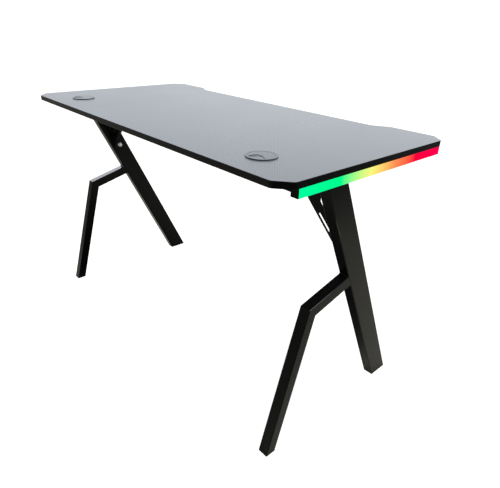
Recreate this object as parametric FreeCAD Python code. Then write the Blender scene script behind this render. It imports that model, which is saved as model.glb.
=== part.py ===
"""Gaming desk: a laminated board on two leaning K-shaped legs, with a glowing light bar under each end.

Millimetres. The origin is on the floor under the middle of the board, +X runs along the length,
+Y points to the side where a person sits, and +Z points up.
"""
import FreeCAD, Part
import math
import os

V = FreeCAD.Vector
X_AXIS = V(1, 0, 0)
Y_AXIS = V(0, 1, 0)
Z_AXIS = V(0, 0, 1)

# Board
desk_length = 1200.0
desk_depth = 600.0
desk_height = 735.0
board_thickness = 15.0
laminate_thickness = 0.8
foil_thickness = 0.3
band_thickness = 1.0
band_edge_round = 0.7
corner_cut_x = 36.0
corner_cut_y = 31.0
corner_round = 12.0
recess_depth = 28.0
recess_floor_length = 780.0
recess_slope_run = 44.0
recess_round = 36.0

# Cable grommets
grommet_from_end = 162.0
grommet_from_rear = 98.5
grommet_hole_d = 60.0
grommet_flange_d = 72.0
grommet_flange_height = 2.6
grommet_flange_round = 0.5
grommet_ledge_height = 1.6
grommet_wall = 2.3
grommet_fit = 0.2
grommet_below = 3.0
lid_fit = 0.5
lid_plate = 0.9
lid_edge_round = 0.3
lid_opening_span = 86.0
lid_opening_bow = 5.5
lid_boss_d = 11.0
lid_turn_right = 19.5
lid_turn_left = -3.0
shutter_thickness = 1.6
shutter_drop = 0.1
shutter_lap_angle = 7.0
shutter_edge_fit = 0.6
shutter_pin_d = 4.0
shutter_pin_fit = 0.05
shutter_pin_head_d = 6.4
shutter_pin_head = 1.2
shutter_rib_width = 2.4
shutter_rib_gap = 5.5
shutter_rib_length = 8.5
shutter_rib_height = 0.5
shutter_rib_turn = 4.0

# Leg tubes
leg_inset = 20.0
leg_width = 30.0
main_depth = 61.5
branch_depth = 30.0
tube_wall = 1.5
tube_round = 2.6
main_foot_from_front = 79.8
main_head_from_rear = 174.2
branch_foot_from_rear = 39.7
knee_from_branch_foot = 109.7
knee_z = 385.6
arm_end_z = 420.8
glide_pad = 2.5
glide_plug = 18.0
glide_fit = 0.3

# Top rails
rail_height = 15.0
rail_wall = 1.5
rail_round = 2.0
rail_cap = 2.0
rail_end_gap = 8.0
rail_plug = 12.0
rail_screw_shares = (-0.92, -0.15, 0.4, 0.85)

# Gusset brackets
gusset_reach = 200.0
gusset_drop = 200.0
web_middle_drop = 142.9
web_thickness = 2.5
plate_thickness = 3.0
plate_margin = 5.0
plate_below_web = 71.1
plate_above_web = 64.9
slot_inset = 8.0
slot_width = 6.4
slot_length = 51.0
slot_from_tip = 61.0
window_inset = 27.5
window_from_leg = 56.0
window_leg_margin = 14.0
window_beam_margin = 11.0
window_round = 4.0
bolt_below_web = 49.1
bolt_above_web = 42.9

# Crossbeam
beam_height = 40.0
beam_depth = 20.0
beam_wall = 1.5
beam_round = 2.2
beam_end_gap = 24.0
beam_bolt_shares = (0.3, 0.82)

# Flange bolts and nuts
bolt_d = 8.0
bolt_fit = 0.25
bolt_flange_d = 17.0
bolt_flange = 1.6
bolt_head_across = 13.0
bolt_head = 6.4
bolt_past_nut = 2.0
nut_height = 6.5

# Wood screws
wood_screw_d = 4.5
wood_screw_bite = 11.0
wood_screw_head_d = 9.0
wood_screw_head = 3.0
small_screw_d = 3.5
small_screw_bite = 10.0
small_screw_head_d = 7.0
small_screw_head = 2.2
pilot_fit = 0.06
passing_fit = 0.25

# Light bars
bar_rear_gap = 9.0
bar_front_gap = 3.0
bar_height = 20.0
bar_wall = 1.2
diffuser_thickness = 2.5
diffuser_round = 0.8
diffuser_lip = 5.0
diffuser_lip_wall = 1.0
diffuser_lip_fit = 0.1
bar_cap = 1.2
bar_screw_shares = (-0.8, 0.0, 0.8)
strip_width = 10.0
strip_thickness = 0.8
strip_end_gap = 6.0
chip_side = 5.0
chip_height = 1.5
chip_pitch = 33.3

# Lighting control
control_from_leg = 70.0
control_from_front = 135.0
control_length = 80.0
control_depth = 36.0
control_height = 18.0
control_wall = 2.0
control_round = 3.0
control_ear = 12.0
control_ear_thickness = 2.5
control_ear_round = 5.0
cover_rim = 3.0
cover_rim_wall = 1.2
cover_fit = 0.15
cover_edge_round = 1.0
circuit_thickness = 1.6
circuit_fit = 0.5
standoff_height = 2.4
standoff_width = 5.0
switch_side = 6.0
switch_height = 4.8
button_from_middle = 20.0
button_d = 12.0
button_fit = 0.3
button_collar = 1.5
button_collar_height = 1.2
button_proud = 1.6
button_round = 0.5
button_post_d = 4.0
button_travel = 1.0
button_play = 0.1
socket_width = 9.6
socket_height = 4.0
socket_depth = 8.0
socket_wall = 0.4
socket_tongue = 0.7
socket_tongue_setback = 1.0
socket_fit = 0.2

# Leads to the light bars
lead_d = 3.0
lead_drop = 8.0
lead_hole_fit = 0.35
clip_length = 10.0
clip_width = 12.0
clip_floor = 1.6
clip_fit = 0.1
clip_round = 1.5
clip_gap_share = 0.7
clip_shares = (0.1, 0.3, 0.5, 0.7, 0.9)

# One overrun serves every cut
overrun = 5.0

# Levels and faces that the pieces share
underside = desk_height - board_thickness
half_length = desk_length / 2
half_depth = desk_depth / 2
leg_outer = half_length - leg_inset
leg_inner = leg_outer - leg_width
leg_middle = leg_outer - leg_width / 2
rail_bottom = underside - rail_height
bar_bottom = underside - bar_height
bar_rear = corner_cut_y + bar_rear_gap - half_depth
bar_front = half_depth - corner_cut_y - bar_front_gap
rail_rear = bar_rear + rail_end_gap + rail_cap
rail_front = bar_front - rail_end_gap - rail_cap
control_x = leg_inner - control_from_leg
control_y = half_depth - control_from_front
lead_z = underside - lead_drop
grommet_x = half_length - grommet_from_end
grommet_y = grommet_from_rear - half_depth
main_foot_y = half_depth - main_foot_from_front
main_head_y = main_head_from_rear - half_depth
branch_foot_y = branch_foot_from_rear - half_depth
knee_y = branch_foot_y + knee_from_branch_foot
SIDES = {"right": 1, "left": -1}


def box(x0, x1, y0, y1, z0, z1):
    return Part.makeBox(x1 - x0, y1 - y0, z1 - z0, V(x0, y0, z0))


def rounded_block(x0, x1, y0, y1, z0, z1, axis, radius):
    """A block whose edges along one axis are rounded."""
    block = box(x0, x1, y0, y1, z0, z1)
    edges = []
    for edge in block.Edges:
        direction = unit(edge.Vertexes[1].Point - edge.Vertexes[0].Point)
        if abs(direction.dot(axis)) > math.cos(math.radians(1)):
            edges.append(edge)
    return block.makeFillet(radius, edges)


def along_span(low, high, share):
    """A place between two ends; a share of 0 is the middle, and -1 and 1 are the ends."""
    return (low + high) / 2 + share * (high - low) / 2


def rod(diameter, length, start, axis):
    return Part.makeCylinder(diameter / 2, length, start, axis)


def drill(diameter, depth, start, axis):
    """A hole cutter that runs past both faces of a wall of the given depth."""
    return rod(diameter, depth + 2 * overrun, start - axis * overrun, axis)


def polygon(points):
    return Part.Face(Part.makePolygon(points + points[:1]))


def hexagon(across, height, start, axis):
    """A hexagonal prism of a given width across its flats."""
    radius = across / math.sqrt(3)
    sideways = Z_AXIS if abs(axis.z) < abs(axis.x) + abs(axis.y) else X_AXIS
    other = axis.cross(sideways)
    corners = []
    for step in range(6):
        angle = math.radians(60 * step)
        corners.append(start + sideways * (radius * math.cos(angle)) + other * (radius * math.sin(angle)))
    return polygon(corners).extrude(axis * height)


def on_side(shape, side):
    """The right-hand piece as it is, or its mirror image for the left."""
    if SIDES[side] > 0:
        return shape
    return shape.mirror(V(0, 0, 0), X_AXIS)


def unit(vector):
    return vector / vector.Length


def rounded_face(corners, to_space):
    """A flat face from (u, v, radius) corners, each rounded by its radius."""
    edges = []
    count = len(corners)
    for index in range(count):
        u, v, radius = corners[index]
        here = V(u, v, 0)
        back = unit(V(*corners[index - 1][:2], 0) - here)
        ahead = unit(V(*corners[(index + 1) % count][:2], 0) - here)
        half = back.getAngle(ahead) / 2
        reach = radius / math.tan(half)
        first = here + back * reach
        last = here + ahead * reach
        crown = here + unit(back + ahead) * (radius / math.sin(half) - radius)
        edges.append((first, crown, last))
    lines = []
    for index in range(count):
        first, crown, last = (to_space(point) for point in edges[index])
        following = to_space(edges[(index + 1) % count][0])
        lines.append(Part.Arc(first, crown, last).toShape())
        lines.append(Part.makeLine(last, following))
    return Part.Face(Part.Wire(lines))


def meet(point, direction, other_point, other_direction):
    """Where two lines of one plane, given as (u, v) pairs, cross."""
    cross = direction[0] * other_direction[1] - direction[1] * other_direction[0]
    gap = (other_point[0] - point[0], other_point[1] - point[1])
    along = (gap[0] * other_direction[1] - gap[1] * other_direction[0]) / cross
    return (point[0] + direction[0] * along, point[1] + direction[1] * along)


def outline_corners(inset):
    """The board's outline, counter-clockwise from above, drawn in by an inset."""
    ends = half_length - corner_cut_x
    sides = half_depth - corner_cut_y
    floor = recess_floor_length / 2
    mouth = floor + recess_slope_run
    floor_y = half_depth - recess_depth
    right = [
        (ends, -half_depth, corner_round),
        (half_length, -sides, corner_round),
        (half_length, sides, corner_round),
        (ends, half_depth, corner_round),
        (mouth, half_depth, recess_round),
        (floor, floor_y, recess_round),
    ]
    left = [(-x, y, radius) for x, y, radius in reversed(right)]
    corners = right + left
    if inset == 0:
        return corners
    count = len(corners)
    drawn_in = []
    for index in range(count):
        before = corners[index - 1]
        x, y, radius = corners[index]
        after = corners[(index + 1) % count]
        come = unit(V(x - before[0], y - before[1], 0))
        go = unit(V(after[0] - x, after[1] - y, 0))
        start = (before[0] - come.y * inset, before[1] + come.x * inset)
        end = (x - go.y * inset, y + go.x * inset)
        corner = meet(start, (come.x, come.y), end, (go.x, go.y))
        bulges_out = come.x * go.y - come.y * go.x > 0
        drawn_in.append((*corner, radius - inset if bulges_out else radius + inset))
    return drawn_in


def slab(inset, low, high):
    face = rounded_face(outline_corners(inset), lambda point: V(point.x, point.y, low))
    return face.extrude(Z_AXIS * (high - low))


def screw(x, y, seat, through, diameter, bite, head_d, head):
    """A round-headed screw driven upwards: its head under the seat, its shank into the board."""
    shank = rod(diameter, through + bite, V(x, y, seat), Z_AXIS)
    cap = rod(head_d, head, V(x, y, seat - head), Z_AXIS)
    rim = [edge for edge in cap.Edges if edge.BoundBox.ZMax < seat - head / 2 and edge.Closed]
    return cap.makeFillet(head / 2, rim).fuse(shank).removeSplitter()


# Places, as (x, y) pairs, of the screws that enter the board on the right-hand side
rail_screw_spots = [(leg_middle, along_span(rail_rear, rail_front, share)) for share in rail_screw_shares]
# The light bar's screws stand midway between its back wall and the lips of its diffuser
bar_screw_x = (leg_outer + bar_wall + half_length - diffuser_thickness - diffuser_lip) / 2
bar_screw_spots = [(bar_screw_x, along_span(bar_rear, bar_front, share)) for share in bar_screw_shares]
control_ear_middle = control_length / 2 + control_ear / 2
control_screw_spots = [
    (control_x + sign * control_ear_middle, control_y + sign * control_depth / 4) for sign in (-1, 1)
]


def pilot_holes():
    holes = []
    for sign in SIDES.values():
        for x, y in rail_screw_spots:
            holes.append((sign * x, y, wood_screw_d, wood_screw_bite))
        for x, y in bar_screw_spots:
            holes.append((sign * x, y, small_screw_d, small_screw_bite))
    for x, y in control_screw_spots:
        holes.append((x, y, small_screw_d, small_screw_bite))
    return [
        rod(diameter + 2 * pilot_fit, bite + pilot_fit + overrun, V(x, y, underside - overrun), Z_AXIS)
        for x, y, diameter, bite in holes
    ]


def grommet_holes():
    return [
        drill(grommet_hole_d, board_thickness, V(sign * grommet_x, grommet_y, underside), Z_AXIS)
        for sign in SIDES.values()
    ]


def board_pieces():
    """The core with a laminate above, a foil below and a band round its edge."""
    core_low = underside + foil_thickness
    core_high = desk_height - laminate_thickness
    cuts = grommet_holes() + pilot_holes()
    inside_band = slab(band_thickness, underside - overrun, desk_height + overrun)
    band = slab(0, underside, desk_height)
    level_edges = [edge for edge in band.Edges if edge.BoundBox.ZLength < board_thickness / 2]
    band = band.makeFillet(band_edge_round, level_edges)
    return {
        "board_core": slab(band_thickness, core_low, core_high).cut(cuts),
        "top_laminate": slab(band_thickness, core_high, desk_height).cut(grommet_holes()),
        "backing_foil": slab(band_thickness, underside, core_low).cut(cuts),
        "edge_band": band.cut(inside_band),
    }


def strip_quad(centre, direction, half_width, first_cut, last_cut):
    """The four (y, z) corners of a straight strip between two cutting lines."""
    across = (-direction[1], direction[0])
    lines = []
    for sign in (-1, 1):
        lines.append((centre[0] + across[0] * half_width * sign, centre[1] + across[1] * half_width * sign))
    return [
        meet(lines[0], direction, *first_cut),
        meet(lines[1], direction, *first_cut),
        meet(lines[1], direction, *last_cut),
        meet(lines[0], direction, *last_cut),
    ]


def leaning_bar(quad, x0, x1, radius):
    """A strip's quad swept across the leg's width, with its long edges rounded."""
    points = [V(x0, y, z) for y, z in quad]
    bar = polygon(points).extrude(X_AXIS * (x1 - x0))
    along = unit(points[2] - points[1])
    long_edges = []
    for edge in bar.Edges:
        direction = unit(edge.Vertexes[1].Point - edge.Vertexes[0].Point)
        if along.cross(direction).Length < math.sin(math.radians(1)):
            long_edges.append(edge)
    return bar.makeFillet(radius, long_edges)


def heading(start, end):
    length = math.hypot(end[0] - start[0], end[1] - start[1])
    return ((end[0] - start[0]) / length, (end[1] - start[1]) / length)


def level(z):
    return ((0, z), (1, 0))


main_heading = heading((main_foot_y, 0), (main_head_y, underside))
main_foot = (main_foot_y, 0)
branch_foot = (branch_foot_y, 0)
knee = (knee_y, knee_z)
# The main leg's face that the branch arm is welded to
main_rear_face = (
    (main_foot_y - main_heading[1] * main_depth / 2, main_heading[0] * main_depth / 2),
    main_heading,
)
arm_end = meet(*main_rear_face, *level(arm_end_z))
post_heading = heading(branch_foot, knee)
arm_heading = heading(knee, arm_end)
knee_mitre = (knee, heading(post_heading, arm_heading))


def main_leg_point(z):
    """The main leg's centre line at a height."""
    return meet(main_foot, main_heading, *level(z))


def shifted(line, direction, distance):
    """A cutting line moved along a direction."""
    (y, z), line_heading = line
    return ((y + direction[0] * distance, z + direction[1] * distance), line_heading)


def tube(centre, direction, depth, first_cut, last_cut):
    """A hollow tube along a line, cut off by the two cutting lines."""
    quad = strip_quad(centre, direction, depth / 2, first_cut, last_cut)
    outer = leaning_bar(quad, leg_inner, leg_outer, tube_round)
    before = shifted(first_cut, direction, -depth)
    after = shifted(last_cut, direction, depth)
    hollow_quad = strip_quad(centre, direction, depth / 2 - tube_wall, before, after)
    hollow = leaning_bar(hollow_quad, leg_inner + tube_wall, leg_outer - tube_wall, tube_round - tube_wall)
    return outer.cut(hollow)


web_middle_z = underside - web_middle_drop


def bracket_bolt_spots():
    return [main_leg_point(web_middle_z - bolt_below_web), main_leg_point(web_middle_z + bolt_above_web)]


def foot_glide(foot, direction, depth):
    """A plastic pad the size of the tube's end, with a plug that enters the tube."""
    pad_quad = strip_quad(foot, direction, depth / 2, level(0), level(glide_pad))
    pad = leaning_bar(pad_quad, leg_inner, leg_outer, tube_round)
    set_in = tube_wall + glide_fit
    plug_top = level(glide_pad + glide_plug)
    plug_quad = strip_quad(foot, direction, depth / 2 - set_in, level(glide_pad), plug_top)
    plug = leaning_bar(plug_quad, leg_inner + set_in, leg_outer - set_in, tube_round - tube_wall)
    return pad.fuse(plug).removeSplitter()


def top_rail():
    shell = rounded_block(
        leg_inner, leg_outer, rail_rear, rail_front, rail_bottom, underside, Y_AXIS, rail_round,
    )
    hollow = box(
        leg_inner + rail_wall, leg_outer - rail_wall,
        rail_rear - overrun, rail_front + overrun,
        rail_bottom + rail_wall, underside - rail_wall,
    )
    cuts = [hollow]
    for x, y in rail_screw_spots:
        cuts.append(drill(wood_screw_d + 2 * passing_fit, rail_height, V(x, y, rail_bottom), Z_AXIS))
    cuts.append(lead_hole(leg_inner, leg_width))
    return shell.cut(cuts)


def lead_hole(x, length):
    return drill(lead_d + 2 * lead_hole_fit, length, V(x, control_y, lead_z), X_AXIS)


def rail_caps():
    caps = []
    for face, sign in ((rail_rear, -1), (rail_front, 1)):
        edge = face + sign * rail_cap
        deep = face - sign * rail_plug
        set_in = rail_wall + glide_fit
        cap = rounded_block(
            leg_inner, leg_outer, min(face, edge), max(face, edge), rail_bottom, underside,
            Y_AXIS, rail_round,
        )
        plug = box(
            leg_inner + set_in, leg_outer - set_in,
            min(face, deep), max(face, deep),
            rail_bottom + set_in, underside - set_in,
        )
        caps.append(cap.fuse(plug))
    return Part.makeCompound(caps)


def rail_screws():
    return Part.makeCompound([
        screw(
            x, y, rail_bottom, rail_height,
            wood_screw_d, wood_screw_bite, wood_screw_head_d, wood_screw_head,
        )
        for x, y in rail_screw_spots
    ])


def flange_bolt(seat, axis, grip):
    """A hexagon bolt with a flange: its head stands on the seat, its shank runs along the axis."""
    flange = rod(bolt_flange_d, bolt_flange, seat, axis * -1)
    head = hexagon(bolt_head_across, bolt_head, seat, axis * -1)
    shank = rod(bolt_d, grip + nut_height + bolt_past_nut, seat, axis)
    return flange.fuse([head, shank]).removeSplitter()


def hex_nut(seat, axis):
    hole = drill(bolt_d + 2 * pilot_fit, nut_height, seat, axis)
    return hexagon(bolt_head_across, nut_height, seat, axis).cut(hole)


bolt_hole_d = bolt_d + 2 * bolt_fit
plate_face = leg_inner - plate_thickness


def bracket_plate():
    """The plate that lies along the main leg's inner face."""
    low = level(web_middle_z - plate_below_web)
    high = level(web_middle_z + plate_above_web)
    quad = strip_quad(main_foot, main_heading, main_depth / 2 - plate_margin, low, high)
    plate = leaning_bar(quad, plate_face, leg_inner, plate_thickness / 4)
    holes = [
        drill(bolt_hole_d, plate_thickness, V(plate_face, y, z), X_AXIS)
        for y, z in bracket_bolt_spots()
    ]
    return plate.cut(holes)


def bracket_bolts():
    grip = plate_thickness + tube_wall
    return Part.makeCompound([
        flange_bolt(V(plate_face, y, z), X_AXIS, grip) for y, z in bracket_bolt_spots()
    ])


def bracket_nuts():
    seat = leg_inner + tube_wall
    return Part.makeCompound([hex_nut(V(seat, y, z), X_AXIS) for y, z in bracket_bolt_spots()])


def leg_bolt_holes():
    return [
        drill(bolt_hole_d, tube_wall, V(leg_inner, y, z), X_AXIS)
        for y, z in bracket_bolt_spots()
    ]


web_y = main_leg_point(web_middle_z)[0] - web_thickness / 2
web_front = web_y + web_thickness
beam_bottom = underside - beam_height
beam_middle = underside - beam_height / 2
beam_bolt_spots = [leg_inner - share * gusset_reach for share in beam_bolt_shares]


def gusset_web():
    """A three-cornered plate between leg, board and beam, with a slot along its long edge and a window."""
    slope = math.hypot(gusset_reach, gusset_drop)
    along = V(-gusset_reach / slope, gusset_drop / slope, 0)
    inward = V(gusset_drop / slope, gusset_reach / slope, 0)
    tip = V(leg_inner, underside - gusset_drop, 0)
    tip_rise = plate_thickness * gusset_drop / gusset_reach
    corners = [
        V(plate_face, tip.y + tip_rise, 0),
        V(plate_face, underside, 0),
        V(leg_inner - gusset_reach, underside, 0),
    ]

    def upright(point):
        return V(point.x, web_y, point.y)

    def before_web(point):
        return V(point.x, web_y - overrun, point.y)

    sheet = polygon([upright(corner) for corner in corners]).extrude(Y_AXIS * web_thickness)
    slot_middle = tip + along * slot_from_tip + inward * slot_inset
    run = (slot_length - slot_width) / 2
    slot_ends = [slot_middle - along * run, slot_middle + along * run]
    rounds = [drill(slot_width, web_thickness, upright(end), Y_AXIS) for end in slot_ends]
    aside = inward * (slot_width / 2)
    sides = [slot_ends[0] + aside, slot_ends[1] + aside, slot_ends[1] - aside, slot_ends[0] - aside]
    through = Y_AXIS * (web_thickness + 2 * overrun)
    slot = polygon([before_web(point) for point in sides]).extrude(through).fuse(rounds)
    inset_point = tip + inward * window_inset
    left = leg_inner - window_from_leg
    right = leg_inner - window_leg_margin
    top = beam_bottom - window_beam_margin
    lower_edge = ((inset_point.x, inset_point.y), (along.x, along.y))
    low_left = meet(*lower_edge, (left, 0), (0, 1))
    low_right = meet(*lower_edge, (right, 0), (0, 1))
    window_corners = [low_left, low_right, (right, top), (left, top)]
    window = rounded_face([(*corner, window_round) for corner in window_corners], before_web)
    cuts = [slot, window.extrude(through)]
    for x in beam_bolt_spots:
        cuts.append(drill(bolt_hole_d, web_thickness, V(x, web_y, beam_middle), Y_AXIS))
    return sheet.cut(cuts)


def crossbeam():
    half = leg_inner - beam_end_gap
    rear = web_front
    front = web_front + beam_depth
    solid = rounded_block(-half, half, rear, front, beam_bottom, underside, X_AXIS, beam_round)
    hollow = box(
        -half - overrun, half + overrun,
        rear + beam_wall, front - beam_wall,
        beam_bottom + beam_wall, underside - beam_wall,
    )
    cuts = [hollow]
    for sign in SIDES.values():
        for x in beam_bolt_spots:
            cuts.append(drill(bolt_hole_d, beam_depth, V(sign * x, rear, beam_middle), Y_AXIS))
    return solid.cut(cuts)


def beam_bolts():
    grip = web_thickness + beam_depth
    return Part.makeCompound([
        flange_bolt(V(sign * x, web_y, beam_middle), Y_AXIS, grip)
        for sign in SIDES.values() for x in beam_bolt_spots
    ])


def beam_nuts():
    return Part.makeCompound([
        hex_nut(V(sign * x, web_front + beam_depth, beam_middle), Y_AXIS)
        for sign in SIDES.values() for x in beam_bolt_spots
    ])


def leg_pieces(side):
    """One end's welded frame, its plastic plugs and caps, and the bracket that takes the crossbeam."""
    rail_line = level(rail_bottom)
    foot_line = level(glide_pad)
    main = tube(main_foot, main_heading, main_depth, foot_line, rail_line).cut(leg_bolt_holes())
    pieces = {
        "top_rail": top_rail(),
        "rail_caps": rail_caps(),
        "rail_screws": rail_screws(),
        "main_leg": main,
        "branch_arm": tube(knee, arm_heading, branch_depth, knee_mitre, main_rear_face),
        "branch_post": tube(branch_foot, post_heading, branch_depth, foot_line, knee_mitre),
        "main_foot_glide": foot_glide(main_foot, main_heading, main_depth),
        "branch_foot_glide": foot_glide(branch_foot, post_heading, branch_depth),
        "bracket_plate": bracket_plate(),
        "bracket_bolts": bracket_bolts(),
        "bracket_nuts": bracket_nuts(),
        "gusset_web": gusset_web(),
    }
    return {name + "_" + side: on_side(shape, side) for name, shape in pieces.items()}


def light_bar_pieces(side):
    """A channel under the board's end, a strip of light chips along its back, and a clipped-in diffuser."""
    rear = bar_rear + bar_cap
    front = bar_front - bar_cap
    face = half_length - diffuser_thickness
    shell = box(leg_outer, face, rear, front, bar_bottom, underside)
    hollow = box(
        leg_outer + bar_wall, face + overrun,
        rear - overrun, front + overrun,
        bar_bottom + bar_wall, underside - bar_wall,
    )
    cuts = [hollow, lead_hole(leg_outer, bar_wall)]
    for x, y in bar_screw_spots:
        cuts.append(drill(small_screw_d + 2 * passing_fit, bar_wall, V(x, y, underside - bar_wall), Z_AXIS))
    cover = box(face, half_length, rear, front, bar_bottom, underside)
    outer_edges = [
        edge for edge in cover.Edges
        if edge.Length > bar_height and edge.BoundBox.XMin > face + diffuser_thickness / 2
    ]
    cover = cover.makeFillet(diffuser_round, outer_edges)
    lips = []
    lip_gap = bar_wall + diffuser_lip_fit
    for low in (bar_bottom + lip_gap, underside - lip_gap - diffuser_lip_wall):
        lips.append(box(face - diffuser_lip, face, rear, front, low, low + diffuser_lip_wall))
    strip_back = leg_outer + bar_wall
    strip_front = strip_back + strip_thickness
    strip_middle = underside - bar_height / 2
    strip_rear = rear + strip_end_gap
    strip_far = front - strip_end_gap
    strip = box(
        strip_back, strip_front, strip_rear, strip_far,
        strip_middle - strip_width / 2, strip_middle + strip_width / 2,
    )
    count = int((strip_far - strip_rear - chip_side) // chip_pitch) + 1
    first = (strip_rear + strip_far) / 2 - (count - 1) * chip_pitch / 2
    chips = []
    for index in range(count):
        middle = first + index * chip_pitch
        chips.append(box(
            strip_front, strip_front + chip_height,
            middle - chip_side / 2, middle + chip_side / 2,
            strip_middle - chip_side / 2, strip_middle + chip_side / 2,
        ))
    caps = []
    for low in (bar_rear, front):
        caps.append(rounded_block(
            leg_outer, half_length, low, low + bar_cap, bar_bottom, underside, Y_AXIS, diffuser_round,
        ))
    screws = [
        screw(
            x, y, underside - bar_wall, bar_wall, small_screw_d, small_screw_bite,
            small_screw_head_d, small_screw_head,
        )
        for x, y in bar_screw_spots
    ]
    pieces = {
        "light_channel": shell.cut(cuts),
        "diffuser": cover.fuse(lips).removeSplitter(),
        "led_strip": strip,
        "led_chips": Part.makeCompound(chips),
        "light_end_caps": Part.makeCompound(caps),
        "light_screws": Part.makeCompound(screws),
    }
    return {name + "_" + side: on_side(shape, side) for name, shape in pieces.items()}


def polar(radius, angle, z):
    turn = math.radians(angle)
    return V(radius * math.cos(turn), radius * math.sin(turn), z)


def fan(radius, span, bow, low, height):
    """A sector of a disc that faces -Y; its first edge is bowed outwards and its other edge is straight."""
    hub = V(0, 0, low)
    first = -90 - span / 2
    tip = polar(radius, first, low)
    last_tip = polar(radius, first + span, low)
    bowed = (hub + tip) / 2 + polar(bow, first - 90, 0)
    wire = Part.Wire([
        Part.Arc(hub, bowed, tip).toShape(),
        Part.Arc(tip, polar(radius, -90, low), last_tip).toShape(),
        Part.makeLine(last_tip, hub),
    ])
    return Part.Face(wire).extrude(Z_AXIS * height)


def disc(diameter, low, high):
    return rod(diameter, high - low, V(0, 0, low), Z_AXIS)


def grommet_pieces(side):
    """A liner in the board's hole, a lid with a fan-shaped opening, and the shutter leaf that closes it."""
    turn = {"right": lid_turn_right, "left": lid_turn_left}[side]
    flange_top = desk_height + grommet_flange_height
    ledge = desk_height + grommet_ledge_height
    sleeve_d = grommet_hole_d - 2 * grommet_fit
    bore_d = sleeve_d - 2 * grommet_wall
    seat_d = grommet_hole_d
    flange = disc(grommet_flange_d, desk_height, flange_top)
    rim = [edge for edge in flange.Edges if edge.Closed and edge.BoundBox.ZMin > desk_height]
    flange = flange.makeFillet(grommet_flange_round, rim)
    liner = flange.fuse(disc(sleeve_d, underside - grommet_below, desk_height + grommet_ledge_height / 2))
    liner = liner.cut([
        disc(seat_d, ledge, flange_top + overrun),
        disc(bore_d, underside - grommet_below - overrun, flange_top + overrun),
    ]).removeSplitter()

    lid_d = seat_d - 2 * lid_fit
    lid_bottom = ledge
    lid_top = ledge + lid_plate
    opening = fan(
        lid_d / 2 + lid_fit, lid_opening_span, lid_opening_bow,
        lid_bottom - overrun, lid_plate + 2 * overrun,
    )
    plate = disc(lid_d, lid_bottom, lid_top)
    upper_rim = [edge for edge in plate.Edges if edge.Closed and edge.BoundBox.ZMin > lid_bottom]
    plate = plate.makeFillet(lid_edge_round, upper_rim).cut(opening)
    boss = disc(lid_boss_d, lid_bottom, lid_top)
    shutter_top = lid_bottom - shutter_drop
    shutter_bottom = shutter_top - shutter_thickness
    pin_bottom = shutter_bottom - shutter_drop
    pin = disc(shutter_pin_d, pin_bottom, lid_bottom)
    pin_head = disc(shutter_pin_head_d, pin_bottom - shutter_pin_head, pin_bottom)
    lid = plate.fuse([boss, pin, pin_head]).removeSplitter()

    shutter_d = bore_d - 2 * shutter_edge_fit
    leaf_span = lid_opening_span + 2 * shutter_lap_angle
    leaf = fan(shutter_d / 2, leaf_span, lid_opening_bow, shutter_bottom, shutter_thickness)
    rib_outer = shutter_d / 2 - shutter_rib_gap
    rib = box(
        -shutter_rib_width / 2, shutter_rib_width / 2,
        -rib_outer, -rib_outer + shutter_rib_length,
        shutter_bottom, shutter_top + shutter_rib_height,
    )
    rib.rotate(V(0, 0, 0), Z_AXIS, shutter_rib_turn - lid_opening_span / 2)
    pin_hole_d = shutter_pin_d + 2 * shutter_pin_fit
    pin_hole = drill(pin_hole_d, shutter_thickness, V(0, 0, shutter_bottom), Z_AXIS)
    hub = disc(lid_boss_d, shutter_bottom, shutter_top)
    leaf = leaf.fuse([hub, rib]).cut(pin_hole).removeSplitter()

    pieces = {"grommet_liner": liner, "grommet_lid": lid, "grommet_shutter": leaf}
    for shape in pieces.values():
        shape.rotate(V(0, 0, 0), Z_AXIS, turn)
        shape.translate(V(SIDES[side] * grommet_x, grommet_y, 0))
    return {name + "_" + side: shape for name, shape in pieces.items()}


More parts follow.
